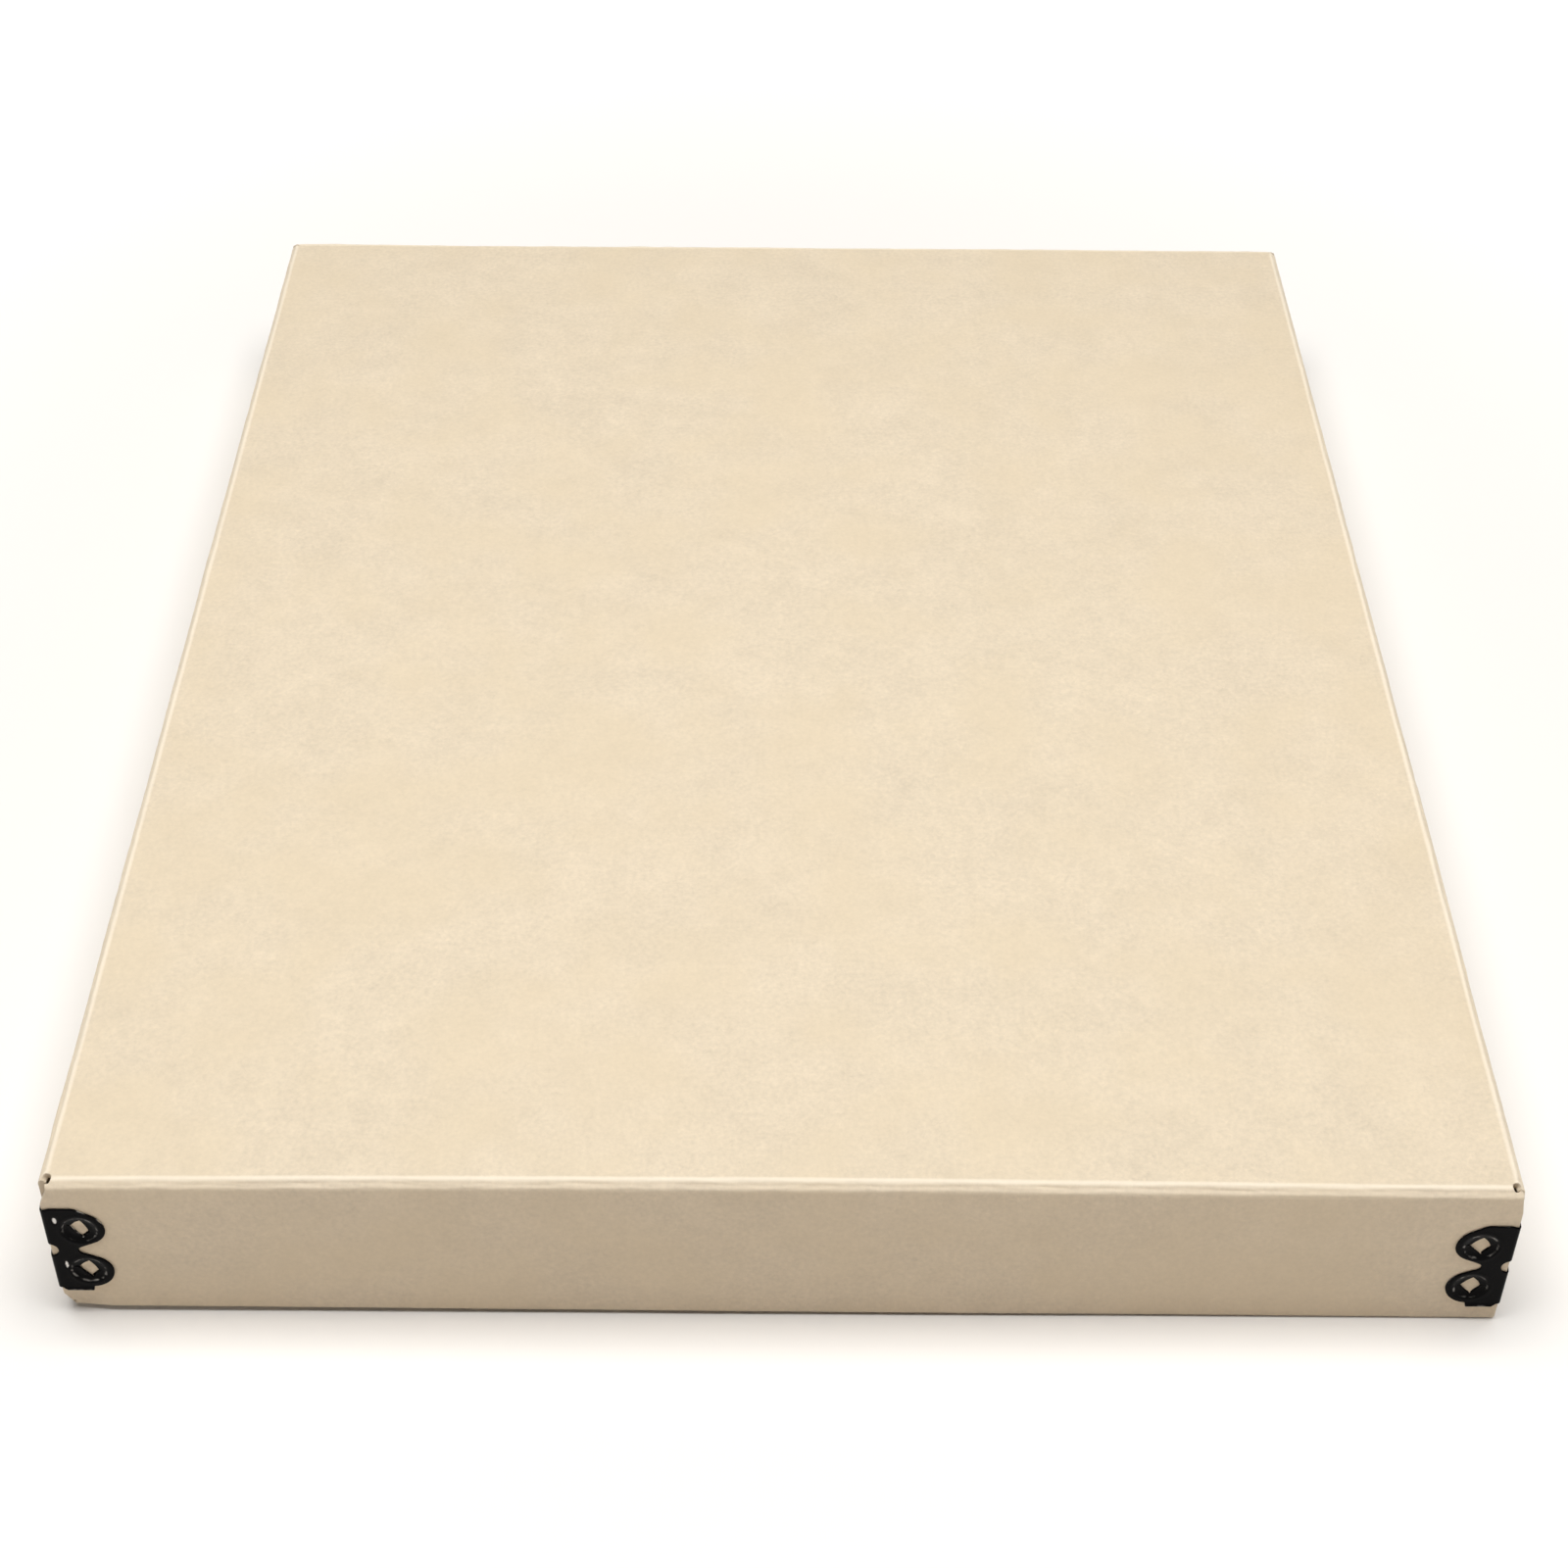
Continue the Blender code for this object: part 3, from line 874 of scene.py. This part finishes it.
def flat_stay(height, material, teeth_tree, seed, lean, dimples):
    """A flat stay with its dishes, dimples and teeth.

    Its vertex attribute says how much pale uncoated steel shows: partly wear, partly painted glints and
    highlights.
    """
    hand = random.Random(seed)
    outlines = [stay_outline(height), oval((0, 0), CORNER_HOLE[0], CORNER_HOLE[1], 30)]
    for centre in punch_centres():
        turned = lean + hand.uniform(-0.09, 0.09)
        outlines.append(punched_outline(centre, turned, hand.uniform(0.7, 1.15)))
    outer = outlines[0]
    low = Vector((min(p.x for p in outer), min(p.y for p in outer)))
    high = Vector((max(p.x for p in outer), max(p.y for p in outer)))
    points = keep_clear(lattice(low, high, STAY_STEP), outlines, STAY_RIM_MARGIN)
    piece = cut_sheet("flat_stay", outlines, points, SHEET, SHEAR_ROUNDING)
    foot_y = -height / 2
    # How pale the lower edge turns: partly wear, partly painted sheen.
    foot_wear_and_sheen = hand.uniform(0.62, 0.85)
    wear_and_glint = [wear_and_glint_share(vert.co.xy, foot_y, foot_wear_and_sheen, dimples) for vert in piece.data.vertices]
    piece.data.attributes.new("wear_and_glint", "FLOAT", "POINT").data.foreach_set("value", wear_and_glint)
    for vert in piece.data.vertices:
        vert.co.z += pressing(vert.co.xy, foot_y, dimples)
    teeth = tooth_piece()
    run_shaping(teeth, teeth_tree, {
        "Lobe Pitch": LOBE_PITCH, "Lobe Spread": 2 * stay_flat(LOBE_FROM_CORNER), "Material": material})
    join_meshes(piece, teeth)
    return piece


def make_stay(name, flat, shaping, material, corner, place):
    piece = bpy.data.objects.new(name, flat.data)
    bpy.context.scene.collection.objects.link(piece)
    side_x, side_y = CORNERS[corner]
    turn = math.atan2(side_y, side_x) - QUARTER_TURN / 2
    run_shaping(piece, shaping, {
        "Bend Radius": STAY_BEND_RADIUS, "Sheet": SHEET, "Turn": turn,
        "Corner X": place[0], "Corner Y": place[1], "Corner Z": place[2], "Material": material})
    turn_outward(piece.data)
    piece.data.shade_smooth()
    return piece


# --- Finishes ------------------------------------------------------------------

BOARD_COLOR = (0.656, 0.556, 0.418)
# paler colour along the ridges of the folds: partly burnish, partly a painted highlight
BURNISH_AND_HIGHLIGHT_COLOR = (0.90, 0.81, 0.67, 1.0)
PLIES = 5                         # layers that show on a cut edge
COAT_COLORS = ((0.0010, 0.0010, 0.0014, 1.0), (0.0030, 0.0028, 0.0032, 1.0))
DUST_COLOR = (0.03, 0.028, 0.025, 1.0)
# pale uncoated steel: worn edges and scuffs, and painted glints and highlights
STEEL_AND_GLINT_COLOR = (0.60, 0.585, 0.56, 1.0)


class Finish(Graph):
    """A Principled material under construction."""

    def __init__(self, name):
        self.material = bpy.data.materials.new(name)
        self.material.use_nodes = True
        super().__init__(self.material.node_tree)
        self.shader = self.tree.nodes["Principled BSDF"]
        self.coords = self.add("ShaderNodeTexCoord", {}, {}, "Object")

    def attribute(self, name):
        return self.add("ShaderNodeAttribute", {"attribute_name": name}, {}, "Fac")

    def set(self, values):
        for name, value in values.items():
            self.feed(self.shader.inputs[name], value)

    def bump(self, height, distance, strength=1.0):
        inputs = {"Height": height, "Distance": distance, "Strength": strength}
        self.set({"Normal": self.add("ShaderNodeBump", {}, inputs)})


def shade(color, factor):
    return (color[0] * factor, color[1] * factor, color[2] * factor, 1.0)


def fibres(finish, offset, scale, width):
    """Short curved fibres: thin level lines of a noise field, broken up by a second one."""
    moved = finish.add("ShaderNodeVectorMath", {"operation": "ADD"}, {0: finish.coords, 1: offset})
    field = finish.noise(moved, scale, 1.0, 0.4, 0.7)
    breaks = finish.noise(moved, scale * 1.3, 1.0)
    line = 1 - abs(field - 0.5).ramp(0.0, width)
    return line * breaks.ramp(0.54, 0.64)


def board_finish(color):
    finish = Finish("cream_board")
    mottle = finish.noise(finish.coords, 48.0, 5.0, 0.98)
    patches = finish.noise(finish.coords, 14.0, 1.0)
    warmth = finish.noise(finish.coords, 33.0, 2.0, 0.6)
    formation = finish.noise(finish.coords, 520.0, 3.0, 0.65)
    grain = finish.noise(finish.coords, 3000.0, 2.0, 0.5)
    pale = fibres(finish, (0.0, 0.0, 0.0), 300.0, 0.035) * patches.ramp(0.42, 0.62)
    dark = fibres(finish, (0.31, 0.17, 0.05), 240.0, 0.022)
    flecks = formation.ramp(0.60, 0.72) * patches.ramp(0.40, 0.60)
    cut = finish.attribute("cut")
    ply = finish.attribute("ply")
    crease = finish.attribute("crease")

    speckle = finish.noise(finish.coords, 900.0, 2.0, 0.6)
    tone = 0.5 + (mottle - 0.5) * 1.45 + (speckle - 0.5) * 1.05 + (grain - 0.5) * 0.3
    tone = tone + pale * 0.22 - dark * 0.2 + flecks * 0.2
    face = finish.blend_colors(shade(color, 0.88), shade(color, 1.12), tone.clamped())
    ochre = (color[0] * 1.01, color[1] * 0.99, color[2] * 0.93, 1.0)
    face = finish.blend_colors(face, ochre, warmth.ramp(0.35, 0.7) * 0.5)
    plies = ply * PLIES + (formation - 0.5) * 0.8
    layer = abs(plies.maths("FRACT", plies) - 0.5)
    raw = finish.blend_colors(shade(color, 0.90), shade(color, 0.76), layer.ramp(0.30, 0.5) * grain)
    # Paler along the folds: partly burnish, partly a painted highlight on the ridge.
    burnish_and_highlight = finish.blend_colors(face, BURNISH_AND_HIGHLIGHT_COLOR, crease * 0.6)
    finish.set({"Base Color": finish.blend_colors(burnish_and_highlight, raw, cut)})
    finish.set({"Roughness": (0.84 - crease * 0.16 + (formation - 0.5) * 0.12).clamped()})
    finish.set({"Specular IOR Level": 0.35, "Sheen Weight": 0.12, "Sheen Roughness": 0.5})
    height = formation * 0.55 + grain * 0.30 + pale * 0.22 - dark * 0.15 + mottle * 0.5
    finish.bump(height - layer * cut * 0.6, 0.06 * MM, 0.6)
    return finish.material


def enamel_finish():
    finish = Finish("black_enamel")
    cut = finish.attribute("cut")
    wear_and_glint = finish.attribute("wear_and_glint")
    flow = finish.noise(finish.coords, 260.0, 2.0, 0.5)
    peel = finish.noise(finish.coords, 1500.0, 2.0, 0.5)
    stretches = finish.noise(finish.coords, 210.0, 2.0, 0.6)
    smears_and_reflections = finish.noise(finish.coords, 620.0, 1.0, 0.5, 0.6)
    dust = finish.noise(finish.coords, 5200.0, 1.0).ramp(0.70, 0.78)
    # Uncoated stretches along the sheared edges: partly chips in the enamel, partly painted glints.
    chipped_and_glinting_edges = cut.ramp(0.5, 0.95) * stretches.ramp(0.60, 0.68)
    # Pale scuffs on the dimples, dish lips and lower edge: partly wear, partly painted glints and
    # highlights.
    scuffs_and_glints = (wear_and_glint + smears_and_reflections * 0.7 - 0.86).ramp(0.0, 0.5)
    bare_steel_and_glints = chipped_and_glinting_edges.at_least(scuffs_and_glints)
    coat = finish.blend_colors(COAT_COLORS[0], COAT_COLORS[1], flow)
    coat = finish.blend_colors(coat, DUST_COLOR, dust * 0.5)
    finish.set({"Base Color": finish.blend_colors(coat, STEEL_AND_GLINT_COLOR, bare_steel_and_glints)})
    finish.set({"Metallic": bare_steel_and_glints * 0.85})
    finish.set({"Roughness": (0.20 + (flow - 0.5) * 0.12 + bare_steel_and_glints * 0.18 + dust * 0.3).clamped()})
    finish.set({"Specular IOR Level": 0.036})
    finish.bump(flow * 0.7 + peel * 0.3 - bare_steel_and_glints * 0.8, 0.03 * MM, 0.5)
    return finish.material


# --- Studio --------------------------------------------------------------------

CAMERA_PLACE = (-0.00285, -0.5495, 0.46005)
CAMERA_TURN = (49.152, -0.46, 0.045)
LENS = 62.42
BACKDROP_GLOW = 0.98
ROOM_GLOW = 0.045
BACKDROP_COLOR = (1.0, 0.94, 0.82, 1.0)
FLOOR_HALF = 6.0
FLOOR_COLORS = ((0.79, 0.765, 0.735, 1.0), (0.81, 0.785, 0.755, 1.0))
FLOOR_GLOW = (0.86, 0.86, 0.85, 1.0)    # far from the object, where it keeps the floor pale
OVERHEAD_POWER = (33.4, 33.4, 33.2)     # watts in red, green and blue
FRONT_POWER = (1.2, 0.4, 0.1)


def place_camera():
    camera = bpy.data.objects.new("studio_camera", bpy.data.cameras.new("studio_camera"))
    camera.data.lens = LENS
    camera.data.sensor_width = 36.0
    camera.data.clip_start = 0.01
    camera.location = CAMERA_PLACE
    camera.rotation_euler = [math.radians(angle) for angle in CAMERA_TURN]
    bpy.context.scene.collection.objects.link(camera)
    bpy.context.scene.camera = camera


def area_light(name, place, target, size, power, color):
    lamp = bpy.data.lights.new(name, "AREA")
    lamp.shape = "RECTANGLE"
    lamp.size, lamp.size_y = size
    lamp.energy = power
    lamp.color = color
    light = bpy.data.objects.new(name, lamp)
    light.location = place
    light.rotation_euler = (Vector(target) - Vector(place)).to_track_quat("-Z", "Y").to_euler()
    bpy.context.scene.collection.objects.link(light)


def place_floor():
    finish = Finish("studio_floor")
    tone = finish.noise(finish.coords, 2.0, 2.0)
    finish.set({"Base Color": finish.blend_colors(FLOOR_COLORS[0], FLOOR_COLORS[1], tone)})
    finish.set({"Roughness": 0.7, "Specular IOR Level": 0.2})
    place = finish.add("ShaderNodeSeparateXYZ", {}, {0: finish.coords})
    away = (place * place + place.other("Y") * place.other("Y")).root()
    glow = finish.blend_colors((0.0, 0.0, 0.0, 1.0), FLOOR_GLOW, away.ramp(0.13, 0.9))
    finish.set({"Emission Color": glow, "Emission Strength": 1.0})
    mesh = bpy.data.meshes.new("studio_floor")
    half = FLOOR_HALF
    corners = [(-half, -half, 0), (half, -half, 0), (half, half, 0), (-half, half, 0)]
    mesh.from_pydata(corners, [], [(0, 1, 2, 3)])
    mesh.materials.append(finish.material)
    floor = bpy.data.objects.new("studio_floor", mesh)
    bpy.context.scene.collection.objects.link(floor)


def light_studio():
    """A pale backdrop round the horizon, a softbox overhead and a weak warm fill low in front."""
    scene = bpy.context.scene
    scene.view_settings.view_transform = "Standard"
    scene.world = bpy.data.worlds.new("studio")
    scene.world.use_nodes = True
    backdrop = Graph(scene.world.node_tree)
    toward = backdrop.add("ShaderNodeTexCoord", {}, {}, "Generated")
    height = backdrop.add("ShaderNodeSeparateXYZ", {}, {0: toward}, "Z")
    glow = BACKDROP_GLOW + (ROOM_GLOW - BACKDROP_GLOW) * height.ramp(0.01, 0.09)
    backdrop.feed(backdrop.tree.nodes["Background"].inputs["Strength"], glow)
    backdrop.feed(backdrop.tree.nodes["Background"].inputs["Color"], BACKDROP_COLOR)
    for name, place, size, color in (
            ("overhead_softbox", (0.0, -0.12, 1.5), (1.5, 0.9), OVERHEAD_POWER),
            ("warm_front_fill", (0.0, -2.2, 0.5), (1.5, 0.5), FRONT_POWER)):
        power = max(color)
        area_light(name, place, (0.0, 0.0, 0.0), size, power, [channel / power for channel in color])


# --- Assembly ------------------------------------------------------------------

place_camera()
board = board_finish(BOARD_COLOR)
enamel = enamel_finish()
fold = shell_shaping()
repeat_teeth = teeth_shaping()
bend_stay = stay_shaping()

# Relief at each corner: radius of the hole, and how much narrower the end flap starts
LID_RELIEFS = {
    "front_left": (0.95 * MM, 1.7 * MM),
    "front_right": (0.85 * MM, 0.6 * MM),
    "back_left": (0.12 * MM, 0.05 * MM),
    "back_right": (0.12 * MM, 0.05 * MM),
}
TRAY_RELIEFS = {corner: (0.8 * MM, 0.5 * MM) for corner in CORNERS}
LID_CLIPS = {"front_left": (2.0 * MM, 3.4 * MM)}
lid = Shell("lid_board", "lid_corner_stay_front_left", LID_RELIEFS, LID_CLIPS)
tray = Shell("tray_board", "tray_corner_stay_front_left", TRAY_RELIEFS, {})

# Crown of the panel, crushed corner, and how the walls' height differs from one side to the other
for shell, name, body, crown, crush, trim, skew in (
        (lid, "lid_shell", "lid", 1.2 * MM, 0.7 * MM, -0.014, 0.016),
        (tray, "tray_shell", "tray", 0.0, 0.0, 0.0, 0.0)):
    piece = make_shell(name, shell, fold, board, crown, crush, trim, skew)
    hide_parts(shell.node)
    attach(piece, body)

# How far each stay sits above its place, and how much its punched holes lean (radians)
STAY_SHIFTS = {
    "lid_front_left": 2.0 * MM,
    "lid_front_right": -0.8 * MM,
    "lid_back_left": 0.3 * MM,
    "lid_back_right": -0.5 * MM,
    "tray_front_left": 0.2 * MM,
    "tray_front_right": -0.3 * MM,
    "tray_back_left": 0.5 * MM,
    "tray_back_right": 0.0,
}
LEANS = {"front_left": 0.42, "front_right": 0.10, "back_left": 0.25, "back_right": -0.05}
# Middle and half sizes of each dimple on a flat stay
DIMPLES = {
    "lid_front_left": (
        (Vector((-stay_flat(2.65 * MM), 9.2 * MM)), (0.62 * MM, 1.35 * MM)),
        (Vector((-stay_flat(3.0 * MM), -4.6 * MM)), (0.50 * MM, 1.55 * MM))),
}
for body, shell in (("lid", lid), ("tray", tray)):
    for seed, (corner, (side_x, side_y)) in enumerate(CORNERS.items()):
        node = f"{body}_corner_stay_{corner}"
        low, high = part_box(node)
        stand = SHEET + STAY_GAP
        spot = f"{body}_{corner}"
        place = (side_x * (shell.width / 2 + stand), side_y * (shell.depth / 2 + stand),
                 (low[2] + high[2]) / 2 + STAY_SHIFTS[spot])
        flat = flat_stay(shell.stay_height, enamel, repeat_teeth, f"{body}{seed}", LEANS[corner],
                         DIMPLES.get(spot, ()))
        stay = make_stay(f"{body}_stay_{corner}", flat, bend_stay, enamel, corner, place)
        bpy.data.objects.remove(flat)
        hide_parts(node)
        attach(stay, body)

place_floor()
light_studio()
